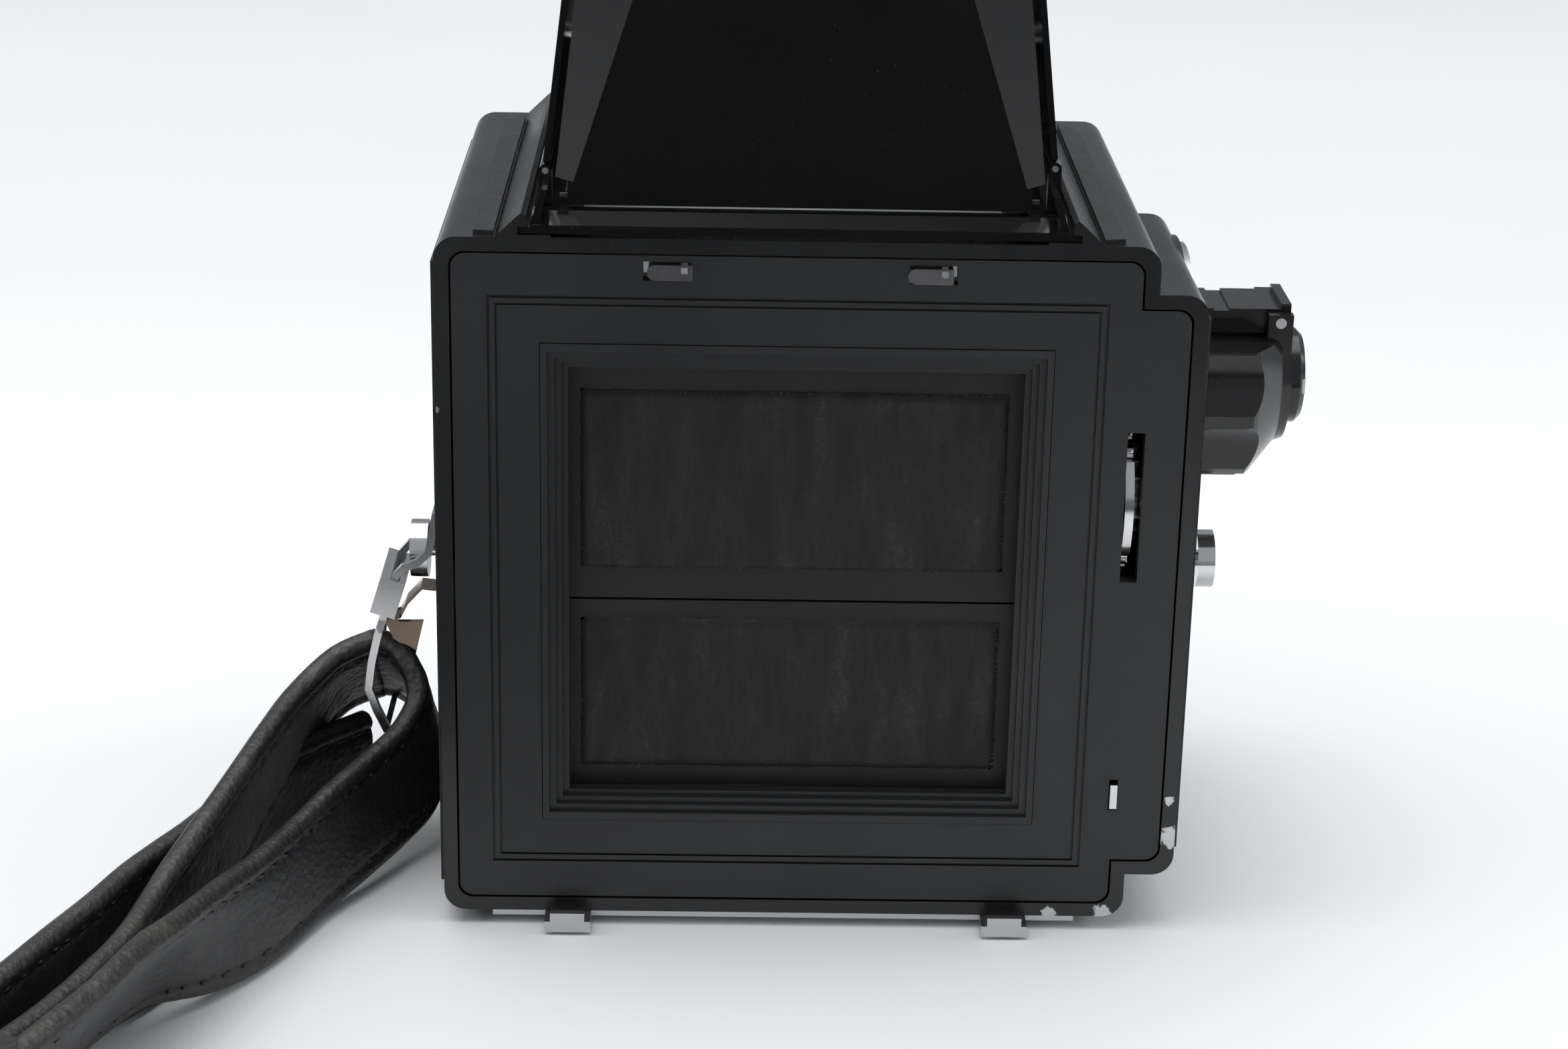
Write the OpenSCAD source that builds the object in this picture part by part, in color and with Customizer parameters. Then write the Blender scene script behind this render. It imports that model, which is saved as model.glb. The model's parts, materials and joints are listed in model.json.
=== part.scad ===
// Modular 6 x 6 reflex camera body with waist-level hood, rear open, film back off.
// X to the photographer's right, Y out of the lens mount, Z up, Z = 0 on the table.

/* [Body] */
// Half depth of the body shell, so the rear rim is at Y = -half_d and the front rim at +half_d
half_d = 34; // [32:0.5:36]
// Left face of the shell, from the lens axis
left_x = 44.2; // [43:0.1:46]
// Right face of the shell ahead of the gear housing
right_x = 43.8; // [43:0.1:46]
// Right face of the gear housing
housing_x = 50; // [48:0.1:52]
// Underside of the shell
shell_bottom = 2; // [1.5:0.1:3]
// Top face of the shell
shell_top = 91.9; // [88:0.1:94]
// Wall of the shell
wall = 1.8; // [1.4:0.1:2.4]
// Corner radius of the shell
corner_r = 2.8; // [2:0.1:4]
// Height of the lens axis and film gate centre
axis_z = 46.8; // [44:0.1:50]

/* [Film gate] */
// Half width of the film gate
gate_half = 28.1; // [27.5:0.1:28.5]
// Height where the two flaps meet
split_z = 43.8; // [42:0.1:48]
// Depth of the flaps behind the rear face
flap_in = 4.4; // [3.5:0.1:6]

/* [Lens mount] */
// Inner radius of the bayonet throat
throat_r = 27.5; // [26:0.1:29]
// Outer radius of the mount ring
mount_r = 33; // [31:0.5:35]

/* [Hood] */
// Top of the rear hood panel when it stands open
hood_rear_top = 139; // [125:1:145]
// Top of the lid when it stands open
hood_lid_top = 160; // [145:1:160]
// How much each side of the hood leans in, per millimetre of height
hood_taper = 0.117; // [0.08:0.001:0.15]
// Half width of the hood at the foot of its panels
hood_half = 31.3; // [30:0.1:32]
// Sheet thickness of the hood panels
sheet = 0.8; // [0.5:0.1:1.2]

/* [Winder] */
// Position of the winding axis along Y
knob_y = -4; // [-8:0.5:2]
// Height of the winding axis
knob_z = 66.9; // [60:0.1:70]
// Radius of the winding knob
knob_r = 13.9; // [12:0.1:16]
// Outer end of the winder along X
knob_end = 67; // [64:0.1:70]
// Teeth of the winding pinion, idler and magazine drive gear
teeth = [13, 15, 16];
// Gear module
gear_m = 0.75; // [0.6:0.05:0.8]

/* [Strap] */
// Width of the leather strap
strap_w = 15; // [12:0.5:20]
// Thickness of the leather strap
strap_t = 3; // [2:0.1:4]

/* [Output] */
// Which sub-part to draw, or all

/* [Hidden] */
$fn = 64;
rear = -half_d;
rail_x = 33;                     // inner side of the hood rails
base_z = 92.2;                   // floor that the hood base slides on
gap = 0.25;                      // seam between inset plates and the shell
flap_y = rear + flap_in;         // rear face of the flaps
gate_top = axis_z + 28.3;
gate_bottom = axis_z - 28.4;
mirror_hinge = [-26.5, 79.5];    // Y, Z
mirror_len = 57;
upper_hinge = [flap_y + 1.6, gate_top + 0.7];
lower_hinge = [flap_y + 1.6, gate_bottom + 0.2];
gear_x = 42.5;
gear_t = 0.8;
pitch_r = [for (t = teeth) t * gear_m / 2];
gear_angle = 205;                // from the winding axis towards the magazine drive
gear_dir = [cos(gear_angle), sin(gear_angle)];
idler_axis = [knob_y, knob_z] + gear_dir * (pitch_r[0] + pitch_r[1] + 0.06);
gear_axis = [knob_y, knob_z] + gear_dir * (pitch_r[0] + 2 * pitch_r[1] + pitch_r[2] + 0.12);
wheel_r = 9.8;                   // coupling wheel that shows in the rear slot
rear_hinge = [rear + 6.1, 95.5]; // Y, Z
lid_hinge = [28.4, 104.6];
side_hinge_x = 31;
side_hinge_z = [98.6, 99.8];     // left, right
lean = atan(hood_taper);
crease = [28.9, 0.32];           // rear panel crease: X at Z = 95 and how fast it closes in
facet = 8;                       // bend of the rear panel's side facets
lug_y = -4;
lug_z = 40.8;
screw_angles = [75, 147, 219, 291, 3];
release_at = [33.5, 11.2];       // X, Z on the front
lens_lock_at = [-37, 20.5];
drive_shaft_at = [22.2, axis_z - 22.2];
function hood_x(z) = hood_half - hood_taper * (z - 97);

crank_at = [63, knob_z + 8.9];   // X, Z of the crank pivot
clip_y = [-11.5, 6];             // sides of the strap clip
neck_y = [-9.2, 1.2];             // sides of its narrow neck
clip_line = [[-46.8, 47.4], [-47.3, 44.6], [-47.9, 41.8], [-49.4, 40.4], [-51.2, 39.7], [-52.2, 38.6],
    [-54.6, 30.9], [-55.5, 27], [-56, 23.2], [-55, 20.2], [-53.6, 17.1]];

// Strap routes: X, Y, Z of the mid line, then how far the top edge leans over in X and in Y
near_lay = [[-56, -1.5, 22.9, 0, -9], [-53.4, -1.9, 22.8, 0, -9.5], [-50.4, -4, 20.8, -1.7, -9],
    [-48.4, -8.7, 16.4, -2.5, -4.5], [-50, -12.7, 12.4, -3.6, -2.5], [-53.2, -17.8, 10.4, -3.6, -1.5],
    [-57, -25, 9.3, -4, -2], [-61.5, -34.1, 8.1, -2.6, -2.2], [-66, -45.9, 7.8, -1.1, 0],
    [-70.2, -54.5, 8.6, 2, 1.5], [-73.1, -60.5, 9.8, 5, -0.3], [-75.6, -65.2, 10.6, 6.6, -2.4],
    [-78.6, -73, 11.2, 6.5, -3], [-81.6, -82, 11.2, 6.6, -4], [-84.6, -91, 10.6, 5, -3],
    [-86.9, -99, 9.6, 2.6, -1.2], [-87.9, -108, 8.6, 0.4, 0], [-88.4, -119, 8.1, 0, 0],
    [-88.6, -130, 8.1, 0, 0]];
tail_lay = [[-55.7, -1.5, 22.9, 0, -9], [-60.8, -3.5, 21.2, 0.4, -9], [-65.4, -11, 18.4, 0.8, -7.5],
    [-68.5, -22, 16, 1.3, -4], [-71, -33.2, 13.8, 0.8, -1.5], [-73.4, -42.3, 11.6, 0, -0.5],
    [-76, -50.5, 9.2, -0.6, 0], [-78.2, -57, 7.9, 1, 0], [-80.2, -63, 7.8, 3.6, -1.2],
    [-82.2, -68.5, 7.8, 5, -2.2], [-84.8, -76, 7.8, 5.4, -3], [-87.8, -84.5, 7.8, 5, -3],
    [-90.6, -94, 7.9, 3, -1.5], [-91.9, -103, 8.1, 0.5, 0]];
// Out on the table the doubled end turns back and its tip lies behind the first run
tail_floor = [[-93.2, -112], [-96, -120], [-102, -125], [-109, -123], [-112.4, -116], [-110.4, -108],
    [-105, -101], [-99.4, -94.5], [-95.4, -87.2], [-91.6, -77.5], [-88, -67.5], [-84.6, -58.5],
    [-81.8, -50], [-79, -43.4], [-76.2, -37.2], [-73.8, -30.4], [-71.6, -22.4], [-68.2, -14.8],
    [-63.6, -8.2], [-57.8, -1.2]];
// The length that is left over stands on edge in a coil in front of the body
coil_at = [-38.6, -142];
coil_r = 50;
coil_pitch = 6.2;
coil_step = 24;
coil_lay = [for (a = [12 : coil_step : 900]) let (r = coil_r - coil_pitch * a / 360)
    coil_at + r * [cos(180 + a), sin(180 + a)]];
end_lay = [for (p = [[33.6, 9], [29, 15.5], [21, 18.4], [14, 18.6], [10.4, 20], [9.2, 22], [10.4, 24],
    [14, 25.4], [21, 25.4]]) coil_at + p];
function upright(points, z) = [for (p = points) [p[0], p[1], z, 0, 0]];
main_route = concat(near_lay, upright(coil_lay, 8.1), upright(end_lay, 9.6));
tail_route = concat(tail_lay, upright(tail_floor, 8.1));
second_clip_at = [coil_at[0] + 12.4, coil_at[1] + 22, 12.3];

// ---- shared shapes ----

module rounded_rect(x0, z0, x1, z1, r) {
    translate([x0 + r, z0]) square([x1 - x0 - 2 * r, z1 - z0]);
    translate([x0, z0 + r]) square([x1 - x0, z1 - z0 - 2 * r]);
    for (x = [x0 + r, x1 - r], z = [z0 + r, z1 - r]) translate([x, z]) circle(r);
}

// An XZ outline pushed along Y from y0 to y1
module along_y(y0, y1) {
    translate([0, y1, 0]) rotate([90, 0, 0]) linear_extrude(y1 - y0) children();
}

// A YZ outline pushed along X from x0 to x1
module along_x(x0, x1) {
    translate([x0, 0, 0]) rotate([90, 0, 90]) linear_extrude(x1 - x0) children();
}

module box(x0, y0, z0, x1, y1, z1) {
    translate([x0, y0, z0]) cube([x1 - x0, y1 - y0, z1 - z0]);
}

module rod_x(x0, x1, y, z, r) {
    translate([x0, y, z]) rotate([0, 90, 0]) cylinder(x1 - x0, r, r);
}

module rod_y(y0, y1, x, z, r) {
    translate([x, y0, z]) rotate([-90, 0, 0]) cylinder(y1 - y0, r, r);
}

module main_outline(inset = 0) {
    rounded_rect(-left_x + inset, shell_bottom + inset, right_x - inset, shell_top - inset,
        corner_r - inset * 0.5);
}

module housing_outline(inset = 0) {
    rounded_rect(20, 8.1 + inset, housing_x - inset, 85.9 - inset, corner_r - inset * 0.5);
}

module rear_outline(inset) {
    main_outline(inset);
    housing_outline(inset);
}

// Lipped rail that holds one side of the hood base
module rail_outline() {
    polygon([[36.8, shell_top - 1], [36.8, shell_top], [34.2, 94.4], [33.6, 94.9], [rail_x, 94.6],
        [rail_x, 93.2], [34, 93.2], [34, base_z], [30, base_z], [30, shell_top - 1]]);
}

// ---- shell, plates and base ----

module body_shell() {
    color([0.16, 0.165, 0.17]) difference() {
        union() {
            along_y(rear, half_d) main_outline();
            along_y(rear, 6) housing_outline();
            along_y(rear, half_d) rail_outline();
            along_y(rear, half_d) mirror([1, 0]) rail_outline();
            rod_x(30, housing_x, knob_y, knob_z, 18.2);
        }
        along_y(rear - 1, half_d + 1) main_outline(wall);
        along_y(rear - 1, 6 - wall) housing_outline(wall);
        rod_x(29, housing_x - wall, knob_y, knob_z, 16.4);
        box(-29.5, -30.5, shell_top - 5, 29.5, 31, base_z + 1);
        rod_x(housing_x - 5, housing_x + 1, knob_y, knob_z, 3.3);
        for (x = [-left_x, housing_x - wall]) rod_x(x - 1, x + wall + 1, lug_y, lug_z, 1.2);
        for (x = [-24, 24], y = [-22, 22]) translate([x, y, 0]) cylinder(6, 1.25, 1.25);
        translate([0, 0, 0]) cylinder(6, 8.1, 8.1);
    }
}

module rear_plate() {
    w = 31.5;
    color([0.19, 0.195, 0.2]) difference() {
        along_y(rear + 0.15, rear + 2.2) rear_outline(wall + gap);
        box(-w, rear - 1, axis_z - 31.9, w, rear + 3, axis_z + 31.9);
        for (line = [[37.85, 0.35], [36.9, 0.3]]) groove(line[0], line[1]);
        box(40.95, rear - 1, 48.5, 43.1, rear + 3, 68.2);
        box(41.15, rear - 1, 17.1, 42.25, rear + 3, 21.4);
        for (x = [-16.2, 16.1]) box(x - 2.7, rear - 1, 86.7, x + 3.1, rear + 3, 89.1);
    }
}

// Engraved rectangle in the rear plate, centred on the gate
module groove(half, width) {
    z0 = axis_z - half;
    z1 = axis_z + half;
    along_y(rear - 1, rear + 0.5) difference() {
        translate([-half, z0]) square([2 * half, z1 - z0]);
        translate([-half + width, z0 + width]) square([2 * (half - width), z1 - z0 - 2 * width]);
    }
}

module gate_frame() {
    steps = [[30.6, 0.6], [29.7, 1.2], [28.9, 1.9]];
    color([0.17, 0.175, 0.18]) difference() {
        union() {
            box(-31.4, rear, axis_z - 31.8, 31.4, rear + 2.2, axis_z + 31.8);
            box(-29.1, rear + 2.1, axis_z - 29.3, 29.1, rear + 3.6, axis_z + 29.3);
        }
        for (s = steps) box(-s[0], rear - 1, axis_z - s[0] - 0.2, s[0], rear + s[1], axis_z + s[0] + 0.2);
        box(-gate_half, rear - 1, gate_bottom, gate_half, rear + 4, gate_top);
    }
}

module mirror_box() {
    color([0.05, 0.05, 0.055]) difference() {
        box(-32, rear + 2.2, 14.5, 32, 31.6, 82);
        box(-29.3, rear + 3.7, 17.3, 29.3, 32, 83);
        box(-29.2, rear + 2, 17.3, 29.2, rear + 4, 77.2);
        rod_x(-33, 33, mirror_hinge[0], mirror_hinge[1], 1.2);
        for (h = [upper_hinge, lower_hinge]) rod_x(-33, 33, h[0], h[1], 0.5);
        rod_x(30, 33, idler_axis[0], idler_axis[1], 1);
        rod_x(30, 33, gear_axis[0], gear_axis[1], 1);
    }
}

module front_plate() {
    color([0.16, 0.165, 0.17]) difference() {
        along_y(31.6, half_d) main_outline(wall + gap);
        rod_y(31, 35, 0, axis_z, throat_r + 0.6);
        rod_y(33, 35, 0, axis_z, mount_r + 0.1);
        rod_y(31, 35, release_at[0], release_at[1], 3.55);
        box(lens_lock_at[0] - 3.2, 31, lens_lock_at[1] - 4.2, lens_lock_at[0] + 3.2, 35, lens_lock_at[1] + 4.2);
        rod_y(31, 35, drive_shaft_at[0], drive_shaft_at[1], 2.06);
        for (a = screw_angles) mount_screw_at(a) cylinder(8, 0.8, 0.8, center = true);
    }
}

module mount_ring() {
    color([0.78, 0.78, 0.79]) difference() {
        union() {
            rod_y(33, 35, 0, axis_z, mount_r);
            for (a = [20, 140, 260]) translate([0, 33.2, axis_z]) rotate([-90, 0, 0])
                rotate(a) rotate_extrude(angle = 36) translate([25.6, 0]) square([3, 1.3]);
        }
        difference() {
            rod_y(32, 36, 0, axis_z, throat_r);
            for (a = [20, 140, 260]) translate([0, 33.2, axis_z]) rotate([-90, 0, 0])
                rotate(a) rotate_extrude(angle = 36) translate([25.6, 0]) square([3, 1.3]);
        }
        rod_y(32, 36, drive_shaft_at[0], drive_shaft_at[1], 2.06);
        for (a = screw_angles) mount_screw_at(a) {
            cylinder(8, 0.8, 0.8, center = true);
            translate([0, 0, -0.95]) cylinder(3, 1.55, 1.55);
        }
    }
}

module mount_screw_at(a) {
    translate([30.6 * cos(a), 35, axis_z + 30.6 * sin(a)]) rotate([-90, 0, 0]) children();
}

// Countersunk screw with a cross slot, head up
module screw(r, len, head_r, head_t) {
    difference() {
        union() {
            translate([0, 0, -len]) cylinder(len, r, r);
            translate([0, 0, -head_t]) cylinder(head_t, head_r, head_r);
        }
        for (q = [0, 90]) rotate(q) translate([-head_r * 0.7, -0.14, -head_t * 0.6])
            cube([head_r * 1.4, 0.28, head_t]);
    }
}

module mount_screws() {
    color([0.7, 0.7, 0.72]) for (a = screw_angles) mount_screw_at(a) screw(0.75, 3.2, 1.5, 0.9);
}

module base_plate() {
    color([0.72, 0.72, 0.73]) difference() {
        union() {
            box(-38, rear + 0.4, 1.1, 37.5, 31, shell_bottom);
            for (x = [-28.2, 28.2]) {
                box(x - 2.95, rear - 3.2, 0.45, x + 2.95, rear + 5, shell_bottom - 0.05);
                box(x - 2.2, rear - 3.2, 1.9, x + 2.2, rear - 2.2, 3.1);
            }
        }
        translate([0, 0, -1]) cylinder(6, 8.1, 8.1);
        for (x = [-24, 24], y = [-22, 22]) translate([x, y, -1]) cylinder(6, 1.25, 1.25);
        for (x = [-34, 33.6]) translate([x, rear + 5.4, -1]) cylinder(6, 1.5, 1.5);
    }
}

module rubber_feet() {
    color([0.06, 0.06, 0.065]) for (x = [-34, 33.6]) translate([x, rear + 5.4, 0]) {
        translate([0, 0, 0.4]) cylinder(0.7, 2.6, 2.6);
        cylinder(0.41, 2.2, 2.6);
        translate([0, 0, 1]) cylinder(1, 1.5, 1.5);
    }
}

module tripod_plate() {
    color([0.7, 0.7, 0.71]) difference() {
        union() {
            box(-22, -16, 0, 22, 26, 1.1);
            translate([0, 0, 0.9]) cylinder(7.1, 8, 8);
        }
        translate([0, 0, -1]) cylinder(8, 3.175, 3.175);
    }
}

module base_screws() {
    color([0.7, 0.7, 0.72]) for (x = [-24, 24], y = [-22, 22])
        if (abs(x) > 22) translate([x, y, 0.5]) mirror([0, 0, 1]) screw(1.2, 3.2, 1.2, 0.5);
}

// ---- front controls ----

module lens_release() {
    p = lens_lock_at;
    color([0.74, 0.74, 0.75]) {
        box(p[0] - 3, 32.2, p[1] - 4, p[0] + 3, 36.6, p[1] + 4);
        for (z = [-2.4, -0.8, 0.8, 2.4]) box(p[0] - 2.6, 36.5, p[1] + z - 0.3, p[0] + 2.6, 36.9, p[1] + z + 0.3);
    }
}

module release_collar() {
    color([0.74, 0.74, 0.75]) difference() {
        union() {
            rod_y(32, half_d, release_at[0], release_at[1], 3.5);
            rod_y(half_d, half_d + 1.6, release_at[0], release_at[1], 5);
        }
        rod_y(31, half_d + 2, release_at[0], release_at[1], 2.85);
    }
}

module shutter_release() {
    color([0.8, 0.8, 0.81]) difference() {
        rod_y(31.5, half_d + 4.4, release_at[0], release_at[1], 2.8);
        rod_y(half_d + 0.4, half_d + 5, release_at[0], release_at[1], 1.1);
    }
}

module lens_drive_shaft() {
    p = drive_shaft_at;
    color([0.74, 0.74, 0.75]) difference() {
        rod_y(24, 35.4, p[0], p[1], 2);
        box(p[0] - 3, 34.6, p[1] - 0.4, p[0] + 3, 36, p[1] + 0.4);
    }
}

// ---- mirror and flaps ----

module at_mirror() {
    translate([0, mirror_hinge[0], mirror_hinge[1]]) rotate([-45, 0, 0]) children();
}

module mirror_frame() {
    color([0.1, 0.1, 0.11]) at_mirror() difference() {
        union() {
            box(-28.4, 1.2, -1.5, 28.4, mirror_len - 0.2, -0.3);
            rod_x(-28.4, 28.4, 0, 0, 2);
            for (s = [-1, 1]) translate([s * 28 - 0.4, 0, 0]) box(0, 1.2, -1, 0.8, mirror_len - 0.2, 1.3);
        }
        rod_x(-30, 30, 0, 0, 1.25);
    }
}

module mirror_glass() {
    color([0.8, 0.83, 0.85]) at_mirror() box(-27.5, 3, -0.3, 27.5, mirror_len - 1, 1.2);
}

module mirror_shaft() {
    color([0.6, 0.6, 0.62]) rod_x(-32, 32, mirror_hinge[0], mirror_hinge[1], 1.2);
}

// Flap plate between z0 and z1 that turns about a pin at h
module flap(z0, z1, h, knuckle_r) {
    difference() {
        union() {
            box(-28.8, flap_y, z0, 28.8, flap_y + 1.2, z1);
            for (x = [-28.8, -5, 18.8]) rod_x(x, x + 10, h[0], h[1], knuckle_r);
        }
        rod_x(-30, 30, h[0], h[1], 0.55);
    }
}

module upper_flap() {
    color([0.2, 0.2, 0.21]) flap(split_z + 0.15, gate_top + 0.5, upper_hinge, 1.2);
}

module lower_flap() {
    color([0.2, 0.2, 0.21]) flap(gate_bottom - 0.2, split_z - 0.15, lower_hinge, 1);
}

module flap_pad(z0, z1) {
    color([0.045, 0.045, 0.05]) box(-26.7, flap_y - 0.6, z0, 26.5, flap_y, z1);
}

module upper_pad() flap_pad(48, 71.6);
module lower_pad() flap_pad(20.8, 41.2);

module flap_pins() {
    color([0.6, 0.6, 0.62]) for (h = [upper_hinge, lower_hinge]) rod_x(-31.5, 31.5, h[0], h[1], 0.5);
}

module focusing_screen() {
    color([0.82, 0.84, 0.84]) box(-27.9, -25.9, 83.4, 27.9, 30.3, 85.2);
}

module screen_frame() {
    color([0.08, 0.08, 0.085]) difference() {
        box(-31, -28.5, 82, 31, 31.3, 85.6);
        box(-26.5, -24, 81, 26.5, 28.6, 87);
        box(-28, -26, 83.4, 28, 30.4, 87);
    }
}

// ---- hood ----

module hood_base() {
    color([0.08, 0.08, 0.085]) difference() {
        union() {
            box(-33.9, rear + 0.35, base_z + 0.1, 33.9, 33.6, 93.1);
            along_x(-32.4, 32.4) polygon([[rear + 0.5, 93], [rear + 1.1, 93.2], [rear + 3.6, 94.4],
                [rear + 5.6, 94.4], [rear + 5.6, 93]]);
            for (s = [0, 1]) mirror([s, 0, 0]) {
                along_y(rear + 1.2, 32) polygon([[-32.7, 93], [-32.2, 94.4], [-31.3, 97.5],
                    [-30.5, 97.5], [-31.3, 94.4], [-31.3, 93]]);
                side_ear(-27.6, -26.2, side_hinge_z[s]);
                side_ear(24, 25.4, side_hinge_z[s]);
                ear(rear_hinge, 27.9, 29.2, 0.62);
                ear(lid_hinge, 27.7, 28.6, 0.95);
            }
            box(-31.3, 30, 93, 31.3, 30.8, lid_hinge[1] - 1.4);
            box(-31.3, 27, 93, 31.3, 32, 94.4);
        }
        box(-29.2, -28.3, base_z - 1, 29.2, 26.9, 95);
        for (s = [0, 1]) rod_y(-28, 26, (2 * s - 1) * side_hinge_x, side_hinge_z[s], 0.4);
        rod_x(-30, 30, rear_hinge[0], rear_hinge[1], 0.4);
        rod_x(-30, 30, lid_hinge[0], lid_hinge[1], 0.5);
    }
}

// Ear on the base that holds the end of a side hinge pin
module side_ear(y0, y1, z) {
    rod_y(y0, y1, -side_hinge_x, z, 0.8);
    box(-side_hinge_x - 0.8, y0, 93, -side_hinge_x + 0.8, y1, z);
}

module ear(h, x0, x1, r) {
    rod_x(x0, x1, h[0], h[1], r);
    box(x0, h[0] - r, 93, x1, h[0] + r, h[1]);
}

module hood_rear_panel() {
    h = rear_hinge;
    y0 = rear + 4.5;
    z0 = 94.9;
    top = hood_rear_top;
    notch = 97.6;
    function edge(z) = hood_x(z) - 1.3;
    function fold(z) = crease[0] - crease[1] * (z - 95);
    color([0.09, 0.09, 0.095]) difference() {
        union() {
            along_y(y0, y0 + sheet) polygon([[-28.2, z0], [28.2, z0], [28.2, notch],
                [fold(notch), notch], [fold(top), top], [-fold(top), top], [-fold(notch), notch],
                [-28.2, notch]]);
            for (s = [0, 1]) mirror([s, 0, 0]) translate([fold(notch), y0, notch])
                rotate([0, -atan(crease[1]), 0]) rotate([0, 0, facet])
                    translate([-fold(notch), 0, -notch]) translate([0, sheet, 0]) rotate([90, 0, 0])
                        linear_extrude(sheet) facet_outline(notch, top);
            rod_x(-27.6, 27.6, h[0], h[1], 0.95);
        }
        rod_x(-30, 30, h[0], h[1], 0.45);
    }
}

// Side facet of the rear panel, laid out with its crease upright at the crease's foot
module facet_outline(notch, top) {
    a = atan(crease[1]);
    len = (top - notch) / cos(a);
    foot = crease[0] - crease[1] * (notch - 95);
    w0 = hood_x(notch) - 1.3 - foot;
    w1 = hood_x(top) - 1.3 - (foot - crease[1] * (top - notch));
    translate([foot, notch]) polygon([[-0.5, 0.3], [w0 * cos(a), w0 * -sin(a) + 0.7],
        [w1 * cos(a), len - w1 * sin(a) - 0.3], [-0.5, len - 0.3]]);
}

// Side panel laid upright about its hinge line, then leant in
module side_panel(s) {
    z = side_hinge_z[s];
    foot = (97.8 - z) / cos(lean);
    back = (139 - z) / cos(lean);
    front = (hood_lid_top - 6 - z) / cos(lean);
    color([0.09, 0.09, 0.095]) mirror([s, 0, 0]) difference() {
        translate([-side_hinge_x, 0, z]) rotate([0, lean, 0]) {
            along_x(-sheet / 2, sheet / 2) polygon([[-27.8, foot], [25.5, foot], [25.5, front],
                [-26.7, back]]);
            rod_y(-25.9, 23.7, 0, 0, 0.8);
        }
        rod_y(-30, 30, -side_hinge_x, z, 0.45);
        box(-side_hinge_x - 1.4, -29, 97, -side_hinge_x + 1.4, -25.9, z + 1.2);
        box(-side_hinge_x - 1.4, 23.7, 97, -side_hinge_x + 1.4, 27, z + 1.2);
    }
}

module hood_left_panel() side_panel(0);
module hood_right_panel() side_panel(1);

module hood_lid() {
    h = lid_hinge;
    z0 = h[1] + 0.3;
    top = hood_lid_top;
    function half(z) = hood_x(z) - 0.8;
    color([0.09, 0.09, 0.095]) difference() {
        union() {
            along_y(30, 30 + sheet) polygon([[-half(z0), z0], [half(z0), z0],
                [half(top), top], [-half(top), top]]);
            for (s = [0, 1]) mirror([s, 0, 0]) along_y(26, 30.1) polygon([[half(z0) - sheet, z0],
                [half(z0), z0], [half(top), top], [half(top) - sheet, top]]);
            box(-half(top), 26, top - sheet, half(top), 30.1, top);
            rod_x(-27.5, 27.5, h[0], h[1], 1.3);
            box(-27.5, h[0], h[1] + 0.2, 27.5, 30.1, h[1] + 1.3);
            for (s = [-1, 1]) translate([s * 19, 0, 0]) box(-1, 28.4 - 0.9, 146 - 0.9, 1, 30.1, 146.9);
        }
        rod_x(-30, 30, h[0], h[1], 0.55);
        rod_x(-22, 22, 28.4, 146, 0.5);
    }
}

module hood_pins() {
    color([0.6, 0.6, 0.62]) {
        rod_x(-29.2, 29.2, rear_hinge[0], rear_hinge[1], 0.4);
        rod_x(-29.1, 29.1, lid_hinge[0], lid_hinge[1], 0.5);
        for (s = [0, 1]) rod_y(-27.6, 25.4, (2 * s - 1) * side_hinge_x, side_hinge_z[s], 0.4);
    }
}

module magnifier_frame() {
    color([0.1, 0.1, 0.105]) difference() {
        union() {
            box(-21, 27.4, 108, 21, 29.4, 144.6);
            for (s = [-1, 1]) box(s * 15 - 2.4, 27.4, 144, s * 15 + 2.4, 29.4, 146);
            for (s = [-1, 1]) rod_x(s * 15 - 2.4, s * 15 + 2.4, 28.4, 146, 1);
        }
        rod_y(26, 31, 0, 126.5, 16.9);
        rod_x(-22, 22, 28.4, 146, 0.55);
    }
}

module magnifier_lens() {
    color([0.75, 0.85, 0.88]) translate([0, 27.5, 126.5]) rotate([-90, 0, 0]) rotate_extrude()
        polygon([[0, 0], [16.9, 0], [16.9, 0.5], [13, 1.1], [9, 1.45], [4.5, 1.7], [0, 1.8]]);
}

module magnifier_pin() {
    color([0.6, 0.6, 0.62]) rod_x(-20, 20, 28.4, 146, 0.5);
}

module hood_catch() {
    color([0.7, 0.7, 0.71]) {
        box(-6, 30.85, 153, 6, 31.9, 158);
        for (z = [154, 155.3, 156.6]) box(-5, 31.85, z, 5, 32.2, z + 0.5);
    }
}

// ---- trim and small fittings on the body ----

module shoulder_leather() {
    color([0.12, 0.125, 0.13]) for (s = [-1, 1]) {
        translate([0, 0, shell_top]) linear_extrude(0.5) difference() {
            polygon([[s * 37, rear + 1.2], [s * 39.5, rear + 1.6], [s * 39.7, 24], [s * 38.9, 27.5],
                [s * 37.4, 29.6], [s * 37, 29.8]]);
        }
    }
}

module side_leather() {
    color([0.07, 0.07, 0.075]) {
        difference() {
            box(-left_x - 0.5, rear + 1.5, 5.5, -left_x, 32, 88.4);
            rod_x(-left_x - 1, -left_x + 1, lug_y, lug_z, 3.2);
        }
        difference() {
            box(housing_x, rear + 1.5, 11.4, housing_x + 0.5, 3, 82.6);
            rod_x(housing_x - 1, housing_x + 1, knob_y, knob_z, 18.6);
            rod_x(housing_x - 1, housing_x + 1, lug_y, lug_z, 3.2);
        }
        box(right_x, 6.5, 5.5, right_x + 0.5, 32, 47.5);
    }
}

// Fixed hook on the rear plate that the film back hangs on
module magazine_hooks() {
    color([0.75, 0.75, 0.76]) for (x = [-18.6, 12.9]) difference() {
        union() {
            box(x + 0.9, rear - 0.9, 87, x + 5.7, rear + 2.2, 88.9);
            rod_y(rear - 0.9, rear + 2.2, x + 1.15, 87.95, 0.95);
        }
        box(x + 4.3, rear - 2, 87.9, x + 5.1, rear + 0.5, 89.5);
    }
}

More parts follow.
